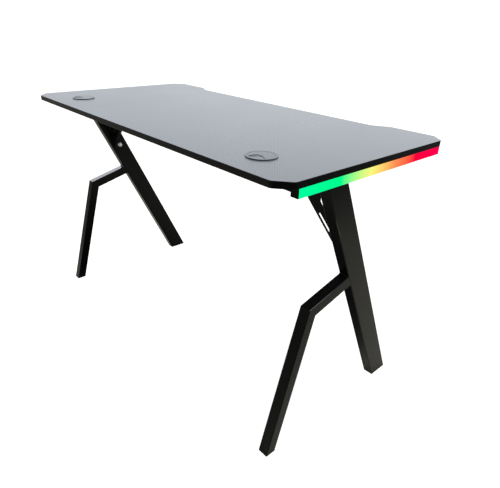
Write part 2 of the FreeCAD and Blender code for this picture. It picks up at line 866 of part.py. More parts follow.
def control_pieces():
    """A box under the board: case, cover, circuit board with its switch and socket, and a push button."""
    x0, x1 = control_x - control_length / 2, control_x + control_length / 2
    y0, y1 = control_y - control_depth / 2, control_y + control_depth / 2
    low = underside - control_height
    cover_top = low + control_wall
    ceiling = underside - control_wall
    shell = rounded_block(x0, x1, y0, y1, cover_top, underside, Z_AXIS, control_round)
    ears = rounded_block(
        x0 - control_ear, x1 + control_ear, y0, y1, underside - control_ear_thickness, underside,
        Z_AXIS, control_ear_round,
    )
    inner = box(
        x0 + control_wall, x1 - control_wall, y0 + control_wall, y1 - control_wall,
        cover_top - overrun, ceiling,
    )
    shell = shell.fuse(ears).cut(inner)
    circuit_top = ceiling - standoff_height
    circuit_bottom = circuit_top - circuit_thickness
    standoffs = []
    for x in (x0 + control_wall, x1 - control_wall - standoff_width):
        standoffs.append(box(
            x, x + standoff_width, y0 + control_wall, y1 - control_wall,
            circuit_top, ceiling,
        ))
    shell = shell.fuse(standoffs)
    socket_x = control_x - button_from_middle
    socket_low = circuit_bottom - socket_height
    socket_port = box(
        socket_x - socket_width / 2 - socket_fit, socket_x + socket_width / 2 + socket_fit,
        y0 - overrun, y0 + control_wall + overrun,
        socket_low - socket_fit, circuit_bottom + socket_fit,
    )
    cuts = [socket_port, lead_hole(x0, control_length)]
    ear_bottom = underside - control_ear_thickness
    for x, y in control_screw_spots:
        hole_start = V(x, y, ear_bottom)
        cuts.append(drill(small_screw_d + 2 * passing_fit, control_ear_thickness, hole_start, Z_AXIS))
    case = shell.cut(cuts).removeSplitter()

    button_x = control_x + button_from_middle
    cover = rounded_block(x0, x1, y0, y1, low, cover_top, Z_AXIS, control_round)
    lower_edges = [edge for edge in cover.Edges if edge.BoundBox.ZMax < low + control_wall / 2]
    cover = cover.makeFillet(cover_edge_round, lower_edges)
    set_in = control_wall + cover_fit
    rim = box(x0 + set_in, x1 - set_in, y0 + set_in, y1 - set_in, cover_top, cover_top + cover_rim)
    hollow_in = set_in + cover_rim_wall
    hollow = box(
        x0 + hollow_in, x1 - hollow_in, y0 + hollow_in, y1 - hollow_in,
        cover_top, cover_top + cover_rim + overrun,
    )
    button_hole = drill(button_d + 2 * button_fit, control_wall, V(button_x, control_y, low), Z_AXIS)
    cover = cover.fuse(rim.cut(hollow)).cut(button_hole).removeSplitter()

    set_in = control_wall + circuit_fit
    circuit = box(x0 + set_in, x1 - set_in, y0 + set_in, y1 - set_in, circuit_bottom, circuit_top)
    switch_low = circuit_bottom - switch_height
    switch = box(
        button_x - switch_side / 2, button_x + switch_side / 2,
        control_y - switch_side / 2, control_y + switch_side / 2,
        switch_low, circuit_bottom,
    )
    cap = rod(button_d, control_wall + button_proud, V(button_x, control_y, low - button_proud), Z_AXIS)
    lower_rim = [edge for edge in cap.Edges if edge.Closed and edge.BoundBox.ZMax < low]
    cap = cap.makeFillet(button_round, lower_rim)
    collar_d = button_d + 2 * button_collar
    collar = rod(collar_d, button_collar_height, V(button_x, control_y, cover_top), Z_AXIS)
    post_top = switch_low - button_travel - button_play
    post = rod(button_post_d, post_top - cover_top, V(button_x, control_y, cover_top), Z_AXIS)
    button = cap.fuse([collar, post]).removeSplitter()

    socket = box(
        socket_x - socket_width / 2, socket_x + socket_width / 2,
        y0, y0 + socket_depth,
        socket_low, circuit_bottom,
    )
    mouth = box(
        socket_x - socket_width / 2 + socket_wall, socket_x + socket_width / 2 - socket_wall,
        y0 - overrun, y0 + socket_depth - socket_wall,
        socket_low + socket_wall, circuit_bottom - socket_wall,
    )
    tongue_middle = (socket_low + circuit_bottom) / 2
    tongue = box(
        socket_x - socket_width / 4, socket_x + socket_width / 4,
        y0 + socket_tongue_setback, y0 + socket_depth - socket_wall,
        tongue_middle - socket_tongue / 2, tongue_middle + socket_tongue / 2,
    )
    socket = socket.cut(mouth).fuse(tongue).removeSplitter()
    screws = [
        screw(
            x, y, ear_bottom, control_ear_thickness,
            small_screw_d, small_screw_bite, small_screw_head_d, small_screw_head,
        )
        for x, y in control_screw_spots
    ]
    return {
        "control_case": case,
        "control_cover": cover,
        "control_circuit": circuit,
        "control_switch": switch,
        "control_screws": Part.makeCompound(screws),
        "mode_button": button,
        "power_socket": socket,
    }


def lead_pieces():
    """A straight lead from the control to each light bar, clipped under the board."""
    right_start = control_x + control_length / 2 - control_wall
    left_start = control_x - control_length / 2 + control_wall
    bar_back = leg_outer + bar_wall
    left_length = left_start + bar_back
    clips = []
    for share in clip_shares:
        x = left_start - control_ear - share * (left_length - leg_width - 2 * control_ear)
        block = rounded_block(
            x - clip_length / 2, x + clip_length / 2,
            control_y - clip_width / 2, control_y + clip_width / 2,
            lead_z - lead_d / 2 - clip_floor, underside,
            Z_AXIS, clip_round,
        )
        channel_start = V(x - clip_length / 2, control_y, lead_z)
        channel = drill(lead_d + 2 * clip_fit, clip_length, channel_start, X_AXIS)
        mouth_width = lead_d * clip_gap_share
        mouth = box(
            x - clip_length / 2 - overrun, x + clip_length / 2 + overrun,
            control_y - mouth_width / 2, control_y + mouth_width / 2,
            lead_z - lead_d / 2 - clip_floor - overrun, lead_z,
        )
        clips.append(block.cut([channel, mouth]))
    return {
        "light_lead_right": rod(lead_d, bar_back - right_start, V(right_start, control_y, lead_z), X_AXIS),
        "light_lead_left": rod(lead_d, left_length, V(-bar_back, control_y, lead_z), X_AXIS),
        "lead_clips": Part.makeCompound(clips),
    }


def all_pieces():
    pieces = board_pieces()
    for side in SIDES:
        pieces.update(leg_pieces(side))
    pieces["crossbeam"] = crossbeam()
    pieces["beam_bolts"] = beam_bolts()
    pieces["beam_nuts"] = beam_nuts()
    for side in SIDES:
        pieces.update(light_bar_pieces(side))
        pieces.update(grommet_pieces(side))
    pieces.update(control_pieces())
    pieces.update(lead_pieces())
    return pieces


os.makedirs("parts", exist_ok=True)
for name, shape in all_pieces().items():
    shape.exportStep("parts/" + name + ".step")
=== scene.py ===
import math

import bpy
from mathutils import Color, Euler, Matrix, Vector


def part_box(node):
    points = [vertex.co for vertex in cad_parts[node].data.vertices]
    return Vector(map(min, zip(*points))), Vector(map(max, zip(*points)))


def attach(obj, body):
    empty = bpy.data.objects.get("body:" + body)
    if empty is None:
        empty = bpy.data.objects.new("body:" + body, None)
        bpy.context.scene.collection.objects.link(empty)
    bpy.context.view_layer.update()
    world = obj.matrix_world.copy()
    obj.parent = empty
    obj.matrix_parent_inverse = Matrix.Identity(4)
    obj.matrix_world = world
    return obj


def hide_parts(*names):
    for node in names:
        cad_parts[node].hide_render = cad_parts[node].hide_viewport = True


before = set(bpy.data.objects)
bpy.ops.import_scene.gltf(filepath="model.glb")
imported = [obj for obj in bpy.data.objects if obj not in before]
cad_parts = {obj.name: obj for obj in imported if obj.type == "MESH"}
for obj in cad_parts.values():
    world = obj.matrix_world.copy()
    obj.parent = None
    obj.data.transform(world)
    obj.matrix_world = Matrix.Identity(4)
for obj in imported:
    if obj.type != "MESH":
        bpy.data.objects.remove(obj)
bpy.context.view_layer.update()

# Leg tubes: a flat steel tube leans from each front foot to the board, and a square tube branches off it
# to a rear foot. The tubes are welded, blasted and powder coated satin black, so the skin has the fine
# dimples of a baked powder.

coat_dark = (0.0005, 0.0005, 0.0004, 1)
coat_light = (0.0009, 0.0008, 0.0007, 1)
coat_shine = 0.16
coat_patch_scale = 9
coat_dimple_scale = 850
coat_dimple_height = 0.000012
coat_roughness = 0.22
coat_patch_roughness = 0.08
coat_dimple_roughness = 0.05


class Signal:
    """A shader socket that can be added, multiplied and compared like a number."""

    def __init__(self, socket):
        self.socket = socket
        self.tree = socket.id_data

    def node(self, kind, settings, sockets, out=0):
        """A node of a kind, with its settings made first, then its sockets set or linked."""
        made = self.tree.nodes.new(kind)
        for name, value in settings.items():
            if name == "stops":
                elements = made.color_ramp.elements
                elements[0].position = value[0][0]
                elements[1].position = value[-1][0]
                for place, colour in value[1:-1]:
                    elements.new(place)
                for element, (place, colour) in zip(elements, value):
                    element.color = colour
            else:
                setattr(made, name, value)
        for name, value in sockets.items():
            if isinstance(value, Signal):
                self.tree.links.new(value.socket, made.inputs[name])
            else:
                made.inputs[name].default_value = value
        return Signal(made.outputs[out])

    def maths(self, operation, *terms):
        """A Math node on some terms, which are signals or numbers."""
        return self.node("ShaderNodeMath", {"operation": operation}, dict(enumerate(terms)))

    def __add__(self, other):
        return self.maths("ADD", self, other)

    def __sub__(self, other):
        return self.maths("SUBTRACT", self, other)

    def __rsub__(self, other):
        return self.maths("SUBTRACT", other, self)

    def __mul__(self, other):
        return self.maths("MULTIPLY", self, other)

    def __truediv__(self, other):
        return self.maths("DIVIDE", self, other)

    def __rtruediv__(self, other):
        return self.maths("DIVIDE", other, self)

    def __mod__(self, other):
        return self.maths("FLOORED_MODULO", self, other)

    def __lt__(self, other):
        return self.maths("LESS_THAN", self, other)

    def __abs__(self):
        return self.maths("ABSOLUTE", self)

    __radd__ = __add__
    __rmul__ = __mul__

    def floor(self):
        return self.maths("FLOOR", self)

    def at_least(self, least):
        return self.maths("MAXIMUM", self, least)

    def limited(self):
        """The signal, kept between 0 and 1."""
        return self.node("ShaderNodeClamp", {}, {0: self})

    def noise(self, scale, detail=2):
        """Soft random patches; the scale is in patches per metre."""
        return self.node("ShaderNodeTexNoise", {}, {"Vector": self, "Scale": scale, "Detail": detail})

    def stretched(self, x, y, z):
        return self.node("ShaderNodeVectorMath", {"operation": "MULTIPLY"}, {0: self, 1: (x, y, z)})

    def part(self, axis):
        """The signal along one axis of a vector."""
        return self.node("ShaderNodeSeparateXYZ", {}, {0: self}, axis)

    def between(self, low, high):
        """A colour that goes from one to another as the signal goes from 0 to 1."""
        # A Mix node takes its two colours at sockets 6 and 7, and gives the mixed one at output 2.
        return self.node("ShaderNodeMix", {"data_type": "RGBA"}, {0: self, 6: low, 7: high}, 2)

    def into(self, shader, socket):
        self.tree.links.new(self.socket, shader.inputs[socket])

    def bump_into(self, shader, height):
        """Raises the surface by up to a height where the signal is 1."""
        sockets = {"Strength": 1.0, "Distance": height, "Height": self}
        self.node("ShaderNodeBump", {}, sockets).into(shader, "Normal")


def new_finish(name, **sockets):
    """A material, its shader with some fixed values, and the piece's own coordinates in metres."""
    material = bpy.data.materials.new(name)
    material.use_nodes = True
    tree = material.node_tree
    shader = tree.nodes["Principled BSDF"]
    for socket, value in sockets.items():
        shader.inputs[socket.replace("_", " ")].default_value = value
    coordinates = tree.nodes.new("ShaderNodeTexCoord")
    return material, shader, Signal(coordinates.outputs["Object"])


def dress(material, *nodes):
    """Gives a finish to CAD nodes that keep their own shape."""
    for node in nodes:
        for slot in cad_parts[node].material_slots:
            slot.material = material


def pair(*names):
    """The names of the nodes that stand on the left and on the right."""
    return [name + side for name in names for side in ("_left", "_right")]


def powder_coat():
    material, shader, place = new_finish("powder_coat", Specular_IOR_Level=coat_shine)
    patches = place.noise(coat_patch_scale)
    dimples = place.noise(coat_dimple_scale)
    patches.between(coat_dark, coat_light).into(shader, "Base Color")
    roughness = coat_roughness + coat_patch_roughness * patches + coat_dimple_roughness * dimples
    roughness.into(shader, "Roughness")
    dimples.bump_into(shader, coat_dimple_height)
    return material


frame_coat = powder_coat()
dress(frame_coat, *pair("main_leg", "branch_arm", "branch_post"))

# Foot glides: moulded polyethylene plugs pressed into the cut ends of the tubes, so that steel never
# scrapes the floor. The plastic is dull, with a fine spark-eroded grain.

moulding_patch_scale = 30
moulding_patch_roughness = 0.08
moulding_pit_scale = 1900
moulding_pit_detail = 1
moulding_pit_roughness = 0.05


def moulded_plastic(name, dark, light, roughness, grain, shine=0.5):
    """Black moulded plastic with a spark-eroded grain of a given height."""
    material, shader, place = new_finish(name, Specular_IOR_Level=shine)
    patches = place.noise(moulding_patch_scale)
    pits = place.noise(moulding_pit_scale, moulding_pit_detail)
    patches.between(dark, light).into(shader, "Base Color")
    uneven = roughness + moulding_patch_roughness * patches + moulding_pit_roughness * pits
    uneven.into(shader, "Roughness")
    pits.bump_into(shader, grain)
    return material


glide_plastic = moulded_plastic(
    "glide_plastic",
    dark=(0.0015, 0.0015, 0.0014, 1),
    light=(0.0030, 0.0030, 0.0028, 1),
    roughness=0.40,
    grain=0.00001,
    shine=0.12,
)
dress(glide_plastic, *pair("main_foot_glide", "branch_foot_glide"))

# Top rails: flat tubes welded across the heads of the legs, coated with them and closed by plastic end
# caps. The board is screwed down through them.

dress(frame_coat, *pair("top_rail"))
dress(glide_plastic, *pair("rail_caps"))

# Gusset brackets: a drilled plate lies along the inner face of each leg, and a three-cornered web of sheet
# steel is welded to it and reaches under the board. Both are coated like the legs.

dress(frame_coat, *pair("bracket_plate", "gusset_web"))

# Welds: beads of overlapping puddles close the seams where the branch and the rail meet the leg and where
# the web meets its plate. They are coated over with the rest of the leg.

bead_radius = 0.0022
bead_pitch = 0.0019
bead_voxel = 0.0005
puddle_sides = 12
puddle_rings = 8
leg_run = 0.3460
leg_rise = 0.7200
leg_lean = leg_run / leg_rise
web_seam_inset = 0.012


def weld_seam(start, end):
    """A row of puddles from one end of a seam to the other."""
    run = Vector(end) - Vector(start)
    count = round(run.length / bead_pitch) + 1
    bpy.ops.object.select_all(action="DESELECT")
    bpy.ops.mesh.primitive_uv_sphere_add(
        segments=puddle_sides, ring_count=puddle_rings, radius=bead_radius, location=start,
    )
    bpy.ops.object.transform_apply()
    row = bpy.context.object
    puddles = row.modifiers.new("puddles", "ARRAY")
    puddles.use_relative_offset = False
    puddles.use_constant_offset = True
    puddles.constant_offset_displace = run / (count - 1)
    puddles.count = count
    bpy.ops.object.modifier_apply(modifier=puddles.name)
    return row


def joined(pieces, name):
    """Several pieces as one, with a name of its own."""
    bpy.ops.object.select_all(action="DESELECT")
    for piece in pieces:
        piece.select_set(True)
    bpy.context.view_layer.objects.active = pieces[0]
    bpy.ops.object.join()
    bpy.context.object.name = name
    return bpy.context.object


def fit_out(piece, material):
    """Gives a new piece its finish and lets it ride on the desk's body."""
    piece.data.materials.clear()
    piece.data.materials.append(material)
    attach(piece, "desk")


def leg_welds(side):
    """The beads across one leg, at its branch and its rail, and those along both sides of its web."""
    leg_low, leg_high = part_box("main_leg" + side)
    arm_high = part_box("branch_arm" + side)[1]
    web_low, web_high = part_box("gusset_web" + side)
    plate_low, plate_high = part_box("bracket_plate" + side)
    plate_face = plate_low.x if side == "_right" else plate_high.x
    arm_top_y = leg_low.y + (leg_high.z - arm_high.z) * leg_lean
    arm_foot_z = leg_high.z - (arm_high.y - leg_low.y) / leg_lean
    leg_front_y = leg_high.y - (leg_high.z - leg_low.z) * leg_lean
    cross_seams = [
        (arm_top_y, arm_high.z),
        (arm_high.y, arm_foot_z),
        (leg_low.y, leg_high.z),
        (leg_front_y, leg_high.z),
    ]
    from_x = leg_low.x + bead_radius
    to_x = leg_high.x - bead_radius
    rows = [weld_seam((from_x, y, z), (to_x, y, z)) for y, z in cross_seams]
    from_z = web_low.z + web_seam_inset
    to_z = plate_high.z - web_seam_inset
    rows += [weld_seam((plate_face, y, from_z), (plate_face, y, to_z)) for y in (web_low.y, web_high.y)]
    welds = joined(rows, "leg_welds" + side)
    fused = welds.modifiers.new("fused", "REMESH")
    fused.voxel_size = bead_voxel
    fused.use_smooth_shade = True
    bpy.ops.object.modifier_apply(modifier=fused.name)
    fit_out(welds, frame_coat)


leg_welds("_right")
leg_welds("_left")

# Crossbeam: a rectangular steel tube under the board, which reaches from one web to the other and is bolted
# to both. It keeps the legs square, and is coated like them.

dress(frame_coat, "crossbeam")

# Bolts and nuts: bright zinc plated M8 flange bolts hold the brackets to the legs and the webs to the
# crossbeam. The plating is pale and a little uneven.

zinc_dark = (0.50, 0.51, 0.53, 1)
zinc_light = (0.70, 0.71, 0.72, 1)
zinc_patch_scale = 400
zinc_roughness = 0.24
zinc_patch_roughness = 0.18


def zinc_plate():
    material, shader, place = new_finish("zinc_plate", Metallic=1.0)
    patches = place.noise(zinc_patch_scale)
    patches.between(zinc_dark, zinc_light).into(shader, "Base Color")
    (zinc_roughness + zinc_patch_roughness * patches).into(shader, "Roughness")
    return material


zinc = zinc_plate()
dress(zinc, *pair("bracket_nuts"))

thread_radius = 0.0040
thread_root = 0.0035
thread_pitch = 0.00125
flange_radius = 0.0085
flange_edge = 0.0007
flange_height = 0.0018
hex_sides = 6
hex_across = 0.0130
hex_corner = hex_across / math.sqrt(3)
hex_height = 0.0064
hex_chamfer_radius = 0.0061
hex_chamfer = 0.0009
nut_height = 0.0065
bracket_shank = 0.0130
beam_shank = 0.0310
beam_bolt_shares = (0.30, 0.82)
round_sides = 48
small_round_sides = 32
smooth_angle = math.radians(35)


def turned(rings, sides):
    """A body drawn up from a disc, ring by ring; each ring is its height and its radius."""
    height, radius = rings[0]
    bpy.ops.object.select_all(action="DESELECT")
    bpy.ops.mesh.primitive_circle_add(
        vertices=sides, radius=radius, fill_type="NGON", location=(0, 0, height),
    )
    bpy.ops.object.transform_apply()
    bpy.ops.object.mode_set(mode="EDIT")
    bpy.ops.mesh.select_all(action="SELECT")
    for next_height, next_radius in rings[1:]:
        bpy.ops.mesh.extrude_region_move(TRANSFORM_OT_translate={"value": (0, 0, next_height - height)})
        growth = next_radius / radius
        bpy.ops.transform.resize(value=(growth, growth, 1), center_override=(0, 0, next_height))
        height, radius = next_height, next_radius
    bpy.ops.mesh.select_all(action="SELECT")
    bpy.ops.mesh.normals_make_consistent(inside=False)
    bpy.ops.object.mode_set(mode="OBJECT")
    return bpy.context.object


def combined(piece, tool, operation):
    """The piece after a tool is added to it, cut from it or shared with it."""
    change = piece.modifiers.new("change", "BOOLEAN")
    change.operation = operation
    change.object = tool
    bpy.context.view_layer.objects.active = piece
    bpy.ops.object.modifier_apply(modifier=change.name)
    bpy.data.objects.remove(tool)
    return piece


def threaded(bottom, top):
    """The rings of a thread between two heights."""
    rings = [(bottom, thread_root)]
    while rings[-1][0] + thread_pitch < top:
        crest = rings[-1][0] + thread_pitch / 2
        rings += [(crest, thread_radius), (crest + thread_pitch / 2, thread_root)]
    return rings


def hexagon_head(bottom, top, chamfer_both):
    """A hexagonal block whose corners are turned off to a cone at the top, or at both ends."""
    block = turned([(bottom, hex_corner), (top, hex_corner)], hex_sides)
    blank = [(bottom, flange_radius), (top - hex_chamfer, flange_radius), (top, hex_chamfer_radius)]
    if chamfer_both:
        blank = [(bottom, hex_chamfer_radius), (bottom + hex_chamfer, flange_radius)] + blank[1:]
    return combined(block, turned(blank, round_sides), "INTERSECT")


def flange_bolt(shank):
    """A bolt that stands on its flange at the origin, head up and shank down."""
    rings = threaded(-shank, 0)
    rings += [(0, thread_root), (0, flange_radius)]
    rings += [(flange_edge, flange_radius), (flange_height, hex_chamfer_radius)]
    head = hexagon_head(flange_edge, hex_height, chamfer_both=False)
    return combined(turned(rings, round_sides), head, "UNION")


def hexagon_nut():
    """A nut that stands on the origin, with a plain bore."""
    bore = turned([(-nut_height, thread_radius), (2 * nut_height, thread_radius)], small_round_sides)
    return combined(hexagon_head(0, nut_height, chamfer_both=True), bore, "DIFFERENCE")


def set_out(model, name, places, facing):
    """Copies of a model at several places, turned to face one way, as one piece."""
    turn = Vector((0, 0, 1)).rotation_difference(Vector(facing)).to_matrix().to_4x4()
    copies = []
    for place in places:
        copy = model.copy()
        copy.data = model.data.copy()
        copy.data.transform(Matrix.Translation(place) @ turn)
        bpy.context.scene.collection.objects.link(copy)
        copies.append(copy)
    piece = joined(copies, name)
    bpy.ops.object.shade_smooth_by_angle(angle=smooth_angle)
    return piece


bracket_bolt = flange_bolt(bracket_shank)
for side, seat_corner, facing in (("_right", 0, (-1, 0, 0)), ("_left", 1, (1, 0, 0))):
    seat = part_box("bracket_plate" + side)[seat_corner].x
    low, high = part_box("bracket_bolts" + side)
    spots = [
        (seat, high.y - flange_radius, low.z + flange_radius),
        (seat, low.y + flange_radius, high.z - flange_radius),
    ]
    bolts = set_out(bracket_bolt, "flange_bolts" + side, spots, facing)
    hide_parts("bracket_bolts" + side)
    fit_out(bolts, zinc)
bpy.data.objects.remove(bracket_bolt)

web_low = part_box("gusset_web_right")[0]
beam_low, beam_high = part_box("crossbeam")
leg_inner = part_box("main_leg_right")[0].x
beam_middle = (beam_low.z + beam_high.z) / 2
beam_spots = []
for share in beam_bolt_shares:
    x = leg_inner - share * (leg_inner - web_low.x)
    beam_spots += [(x, beam_middle), (-x, beam_middle)]
beam_bolt = flange_bolt(beam_shank)
beam_bolts = set_out(beam_bolt, "crossbeam_bolts", [(x, web_low.y, z) for x, z in beam_spots], (0, -1, 0))
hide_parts("beam_bolts")
fit_out(beam_bolts, zinc)
bpy.data.objects.remove(beam_bolt)
beam_nut = hexagon_nut()
beam_nuts = set_out(beam_nut, "crossbeam_nuts", [(x, beam_high.y, z) for x, z in beam_spots], (0, 1, 0))
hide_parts("beam_nuts")
fit_out(beam_nuts, zinc)
bpy.data.objects.remove(beam_nut)

# Board: a particle board core with a printed laminate on top, a thin backing foil below and a plastic band
# round its edge. The core only shows where it is drilled.

wood_dark = (0.30, 0.20, 0.11, 1)
wood_light = (0.55, 0.41, 0.25, 1)
wood_roughness = 0.8
wood_chip_scale = 420
wood_chip_height = 0.0002


def chip_board():
    material, shader, place = new_finish("chip_board", Roughness=wood_roughness)
    chips = place.node("ShaderNodeTexVoronoi", {}, {"Vector": place, "Scale": wood_chip_scale}, "Color")
    tone = chips.node("ShaderNodeSeparateColor", {}, {0: chips})
    tone.between(wood_dark, wood_light).into(shader, "Base Color")
    tone.bump_into(shader, wood_chip_height)
    return material


dress(chip_board(), "board_core")

# Laminate: a two-by-two carbon twill is printed and embossed on the laminate. Each tow passes over two and
# under two, one step on in each row, which draws the fine diagonal lines. The colours hold painted sheen:
# they are lifted from the top's black to a pale bluish grey, the crowns of the tows are painted lighter and
# the seams darker, and the lengthwise tows are lighter, partly print and partly painted sheen.

tow_width = 0.00113
twill_over = 2
twill_repeat = 4
# Painted sheen: both twill colours are lifted to a pale bluish grey that stands in for part of the top's
# reflection.
twill_dark_and_sheen = (0.034, 0.037, 0.040, 1)
twill_light_and_sheen = (0.195, 0.207, 0.218, 1)
tow_print_and_sheen_tone = 0.55
crown_highlight_tone = 0.25
patch_tone = 0.15
twill_patch_scale = 5
twill_roughness = 0.25
twill_patch_roughness = 0.06
twill_tow_roughness = 0.06
emboss_height = 0.000006


def arched(share):
    """A low arch that is 0 at both ends of the share and 1 in its middle."""
    return 4 * share * (1 - share)


def twill_laminate():
    material, shader, place = new_finish("twill_laminate")
    u = place.part("X") / tow_width
    v = place.part("Y") / tow_width
    column = u.floor()
    row = v.floor()
    lengthwise_up = ((column + row) % twill_repeat) < twill_over
    along_lengthwise = ((v + column) % twill_repeat) / twill_over
    along_crosswise = ((u + row) % twill_repeat) / twill_over - 1
    raised_lengthwise = lengthwise_up * (arched(u - column) + arched(along_lengthwise))
    raised_crosswise = (1 - lengthwise_up) * (arched(v - row) + arched(along_crosswise))
    raised = (raised_lengthwise + raised_crosswise) / 2
    patches = place.noise(twill_patch_scale)
    # Painted highlight and shade: the crowns of the tows are painted lighter and the seams darker; the
    # lengthwise tows are lighter, partly printed twill and partly painted sheen.
    tone = tow_print_and_sheen_tone * lengthwise_up + crown_highlight_tone * raised + patch_tone * patches
    tone.between(twill_dark_and_sheen, twill_light_and_sheen).into(shader, "Base Color")
    roughness = twill_roughness + twill_patch_roughness * patches + twill_tow_roughness * lengthwise_up
    roughness.into(shader, "Roughness")
    raised.bump_into(shader, emboss_height)
    return material


dress(twill_laminate(), "top_laminate")

# Backing foil: a thin sheet of black melamine paper, pressed onto the underside of the board. It balances
# the laminate on top, so that the board doesn't warp.

backing_paper = moulded_plastic(
    "backing_paper",
    dark=(0.018, 0.018, 0.018, 1),
    light=(0.030, 0.030, 0.029, 1),
    roughness=0.55,
    grain=0.00003,
)
dress(backing_paper, "backing_foil")

# Edge band: black plastic tape, glued hot round the board, trimmed flush and eased along its edges. It is
# glossier than the coated steel.

band_plastic = moulded_plastic(
    "band_plastic",
    dark=(0.0008, 0.0008, 0.0007, 1),
    light=(0.0014, 0.0014, 0.0012, 1),
    roughness=0.12,
    grain=0.000004,
    shine=0.27,
)
dress(band_plastic, "edge_band")

# Rail screws: zinc plated wood screws with round heads, four in each rail. They go up through the rail into
# the board, and a cross is cut in their heads.

rail_screw_head = 0.0090
rail_screw_head_height = 0.0030
rail_screw_shank = 0.0045
rail_screw_length = 0.0260
rail_screw_shares = (-0.92, -0.15, 0.40, 0.85)
dome_height_shares = (0, 0.25, 0.6, 0.85, 1.0)
dome_radius_shares = (1.0, 1.0, 0.9, 0.68, 0.4)
screw_tip_share = 0.25
recess_length_share = 0.55
recess_width_share = 0.13
recess_depth_share = 0.70


def pan_screw(head, head_height, shank, length):
    """A round-headed screw that stands on the origin, head up, with a cross cut in its head."""
    shank_radius = shank / 2
    rings = [(-length, screw_tip_share * shank_radius), (-length + shank, shank_radius), (0, shank_radius)]
    for height_share, radius_share in zip(dome_height_shares, dome_radius_shares):
        rings.append((height_share * head_height, radius_share * head / 2))
    screw = turned(rings, small_round_sides)
    recess_size = (
        recess_length_share * head,
        recess_width_share * head,
        2 * recess_depth_share * head_height,
    )
    for turn in (0, math.pi / 2):
        bpy.ops.object.select_all(action="DESELECT")
        bpy.ops.mesh.primitive_cube_add(
            size=1, location=(0, 0, head_height), rotation=(0, 0, turn), scale=recess_size,
        )
        bpy.ops.object.transform_apply()
        combined(screw, bpy.context.object, "DIFFERENCE")
    return screw


rail_screw = pan_screw(rail_screw_head, rail_screw_head_height, rail_screw_shank, rail_screw_length)
for side in ("_right", "_left"):
    low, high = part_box("top_rail" + side)
    middle = (low + high) / 2
    spots = [(middle.x, middle.y + share * (high.y - middle.y), low.z) for share in rail_screw_shares]
    screws = set_out(rail_screw, "wood_screws" + side, spots, (0, 0, -1))
    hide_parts("rail_screws" + side)
    fit_out(screws, zinc)
bpy.data.objects.remove(rail_screw)

# Cable grommets: a liner of satin black plastic sits in each hole of the board. A lid with a fan-shaped
# opening turns in it, and a shutter on a pin under the lid closes the opening or clears it for the cables.

grommet_dark = (0.024, 0.026, 0.029, 1)
grommet_light = (0.032, 0.034, 0.038, 1)
grommet_coat = 0.25
grommet_coat_roughness = 0.30
grommet_patch_scale = 60
grommet_roughness = 0.31
grommet_patch_roughness = 0.06


def satin_plastic():
    material, shader, place = new_finish(
        "satin_plastic", Coat_Weight=grommet_coat, Coat_Roughness=grommet_coat_roughness,
    )
    patches = place.noise(grommet_patch_scale)
    patches.between(grommet_dark, grommet_light).into(shader, "Base Color")
    (grommet_roughness + grommet_patch_roughness * patches).into(shader, "Roughness")
    return material


dress(satin_plastic(), *pair("grommet_liner", "grommet_lid", "grommet_shutter"))

# Light bars: a black anodised channel is screwed under each end of the board. It holds a strip of coloured
# lights behind a milky diffuser, which glows from green through yellow to red along its length.

channel_dark = (0.012, 0.012, 0.012, 1)
channel_light = (0.026, 0.026, 0.026, 1)
channel_metal = 0.6
channel_roughness = 0.30
die_line_scale = 2600
die_line_stretch = 0.02
die_line_roughness = 0.15
diffuser_base = (0.0003, 0.0003, 0.0003, 1)
diffuser_roughness = 0.5
screen_levels = 255
glow_places = (
    (0.00, (0, 255, 160)),
    (0.24, (0, 255, 140)),
    (0.30, (140, 255, 140)),
    (0.44, (252, 248, 128)),
    (0.61, (255, 146, 85)),
    (0.78, (255, 0, 58)),
    (1.00, (255, 0, 80)),
)


def as_light(screen_colour):
    """A screen colour as the light that it stands for."""
    shares = [value / screen_levels for value in screen_colour]
    return (*Color(shares).from_srgb_to_scene_linear(), 1)


def black_aluminium():
    material, shader, place = new_finish("black_aluminium", Metallic=channel_metal)
    lines = place.stretched(1, die_line_stretch, 1).noise(die_line_scale)
    lines.between(channel_dark, channel_light).into(shader, "Base Color")
    (channel_roughness + die_line_roughness * lines).into(shader, "Roughness")
    return material


def glowing_diffuser(low_y, high_y):
    material, shader, place = new_finish(
        "glowing_diffuser",
        Base_Color=diffuser_base,
        Emission_Strength=1.0,
        Roughness=diffuser_roughness,
        Specular_IOR_Level=0.0,
    )
    share = (place.part("Y") - low_y) / (high_y - low_y)
    stops = [(where, as_light(colour)) for where, colour in glow_places]
    share.node("ShaderNodeValToRGB", {"stops": stops}, {0: share}).into(shader, "Emission Color")
    return material


dress(black_aluminium(), *pair("light_channel"))
diffuser_low, diffuser_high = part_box("diffuser_right")
dress(glowing_diffuser(diffuser_low.y, diffuser_high.y), *pair("diffuser"))
dress(glide_plastic, *pair("light_end_caps"))
dress(zinc, *pair("light_screws"))

# Light strips: a white flexible circuit is stuck along the back of each channel, with a square light chip
# on it about every 33 mm. The diffuser hides them.


def mottled(name, dark, light, roughness, patch_scale):
    """A finish that is a little uneven in its colour."""
    material, shader, place = new_finish(name, Roughness=roughness)
    place.noise(patch_scale).between(dark, light).into(shader, "Base Color")
    return material


strip_white = mottled(
    "strip_white",
    dark=(0.70, 0.70, 0.68, 1),
    light=(0.80, 0.80, 0.79, 1),
    roughness=0.5,
    patch_scale=200,
)
dress(strip_white, *pair("led_strip"))
chip_yellow = mottled(
    "chip_yellow",
    dark=(0.80, 0.62, 0.10, 1),
    light=(0.85, 0.75, 0.30, 1),
    roughness=0.3,
    patch_scale=600,
)
dress(chip_yellow, *pair("led_chips"))

# Lighting control: a small box of black plastic screwed under the board, with a button to choose the
# light's mode and a socket for its power. A green circuit board and a switch are inside.

